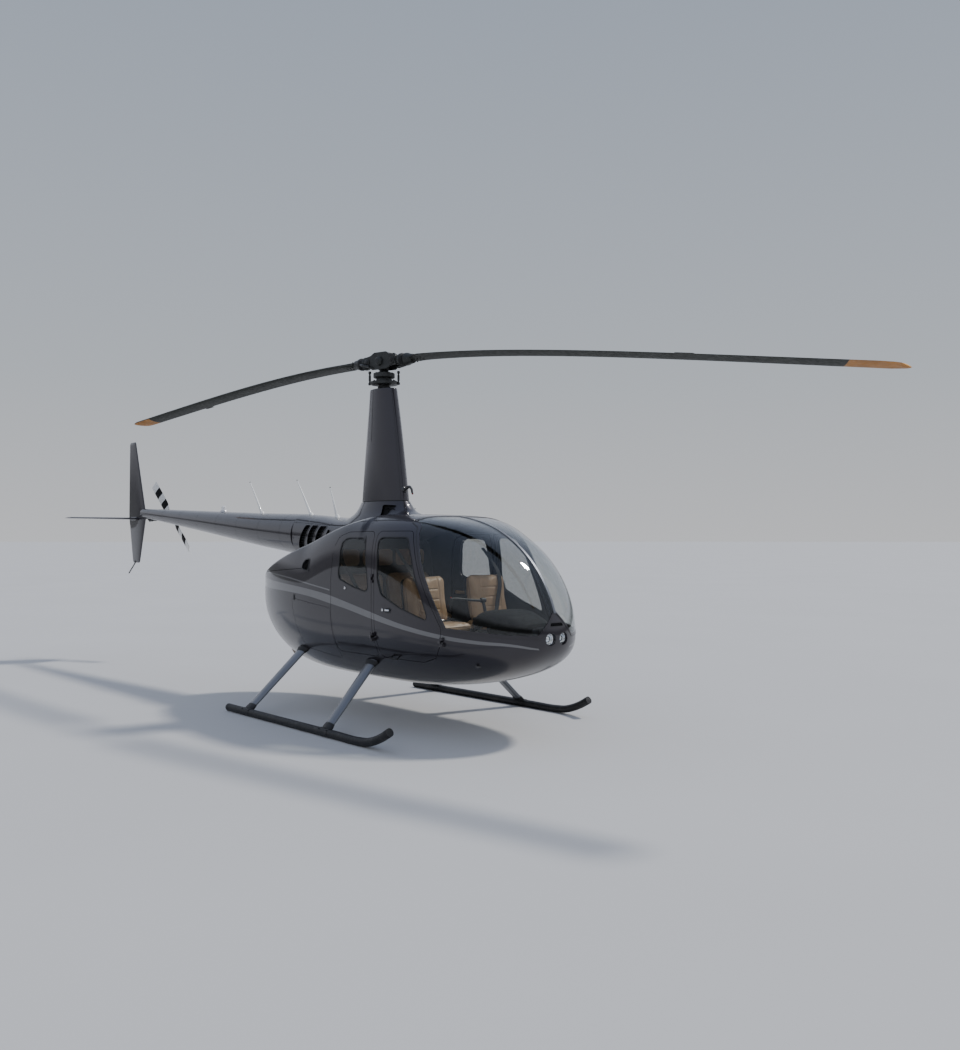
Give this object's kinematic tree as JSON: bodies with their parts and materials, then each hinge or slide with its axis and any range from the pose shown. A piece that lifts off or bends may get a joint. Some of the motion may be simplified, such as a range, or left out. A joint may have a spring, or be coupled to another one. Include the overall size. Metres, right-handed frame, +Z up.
{
  "type": "light helicopter",
  "caption": "Light turbine helicopter with a teetering main rotor on a tall faired mast, bubble windshield, cabin doors, tail boom and skids, dark grey",
  "frame": {"origin": "centre of the bounding box at ground level", "axes": "+X to the nose, +Y to the left side, +Z up"},
  "size_m": [11.4246, 2.36, 3.4775],
  "materials": {
    "paint": "gloss",
    "glass": "gloss",
    "black": "satin",
    "steel": "satin",
    "leather": "satin",
    "white": "gloss",
    "blade": "satin",
    "lamp": "gloss",
    "red_lens": "gloss"
  },
  "bodies": {
    "airframe": {"cabin_lower_shell": "paint", "cabin_roof_frame": "paint", "aft_fuselage": "paint", "upper_cowling": "paint", "mast_fairing": "paint", "tail_boom": "paint", "vertical_fin": "paint", "horizontal_stabilizer": "paint", "front_strut_right": "paint", "front_strut_left": "paint", "aft_strut_right": "paint", "aft_strut_left": "paint", "windshield_right": "glass", "windshield_left": "glass", "cabin_bulkhead": "black", "cabin_floor": "black", "instrument_console": "black", "cyclic_stick": "black", "pitot_tube": "black", "tail_skid_rod": "black", "skid_right": "black", "skid_left": "black", "tail_gearbox": "black", "engine_block": "steel", "windshield_centre_strip": "steel", "exhaust_pipe": "steel", "front_seat_right": "leather", "front_seat_left": "leather", "rear_seat": "leather", "whip_antenna_aft": "white", "whip_antenna_middle": "white", "whip_antenna_front": "white", "landing_lamp_right": "lamp", "landing_lamp_left": "lamp", "beacon": "red_lens"},
    "rotor_mast_body": {"rotor_mast": "steel", "swashplate": "black"},
    "main_rotor_body": {"rotor_hub": "black", "main_blade_forward": "blade", "main_blade_aft": "blade"},
    "tail_rotor_body": {"tail_rotor_hub": "black", "tail_blade_upper": "white", "tail_blade_lower": "white"},
    "front_door_right_body": {"front_door_right": "paint", "front_door_glass_right": "glass"},
    "front_door_left_body": {"front_door_left": "paint", "front_door_glass_left": "glass"},
    "rear_door_right_body": {"rear_door_right": "paint", "rear_door_glass_right": "glass"},
    "rear_door_left_body": {"rear_door_left": "paint", "rear_door_glass_left": "glass"},
    "baggage_door_body": {"baggage_door": "paint"}
  },
  "joints": [
    {"name": "main_rotor_spin", "type": "hinge", "parent": "airframe", "child": "rotor_mast_body", "pos_m": [0.7092, 0, 3], "axis": [0, 0, 1], "continuous": true},
    {"name": "main_rotor_teeter", "type": "hinge", "parent": "rotor_mast_body", "child": "main_rotor_body", "pos_m": [0.7092, 0, 3.39], "axis": [-0.0743, 0.9972, 0], "range_deg": [-9.65, 4.35]},
    {"name": "tail_rotor_spin", "type": "hinge", "parent": "airframe", "child": "tail_rotor_body", "pos_m": [-5.0808, 0.455, 2], "axis": [0, 1, 0], "continuous": true},
    {"name": "front_door_right_hinge", "type": "hinge", "parent": "airframe", "child": "front_door_right_body", "pos_m": [2.3712, -0.668, 1], "axis": [0, 0, 1], "range_deg": [0, 75]},
    {"name": "front_door_left_hinge", "type": "hinge", "parent": "airframe", "child": "front_door_left_body", "pos_m": [2.3712, 0.668, 1], "axis": [0, 0, -1], "range_deg": [0, 75]},
    {"name": "rear_door_right_hinge", "type": "hinge", "parent": "airframe", "child": "rear_door_right_body", "pos_m": [1.5312, -0.746, 1], "axis": [0, 0, 1], "range_deg": [0, 75]},
    {"name": "rear_door_left_hinge", "type": "hinge", "parent": "airframe", "child": "rear_door_left_body", "pos_m": [1.5312, 0.746, 1], "axis": [0, 0, -1], "range_deg": [0, 75]},
    {"name": "baggage_door_hinge", "type": "hinge", "parent": "airframe", "child": "baggage_door_body", "pos_m": [0.4812, 0.746, 0.85], "axis": [0, 0, -1], "range_deg": [0, 90]}
  ],
  "couplings": [
    {"joint": "tail_rotor_spin", "follows": "main_rotor_spin", "ratio": -5.95}
  ]
}
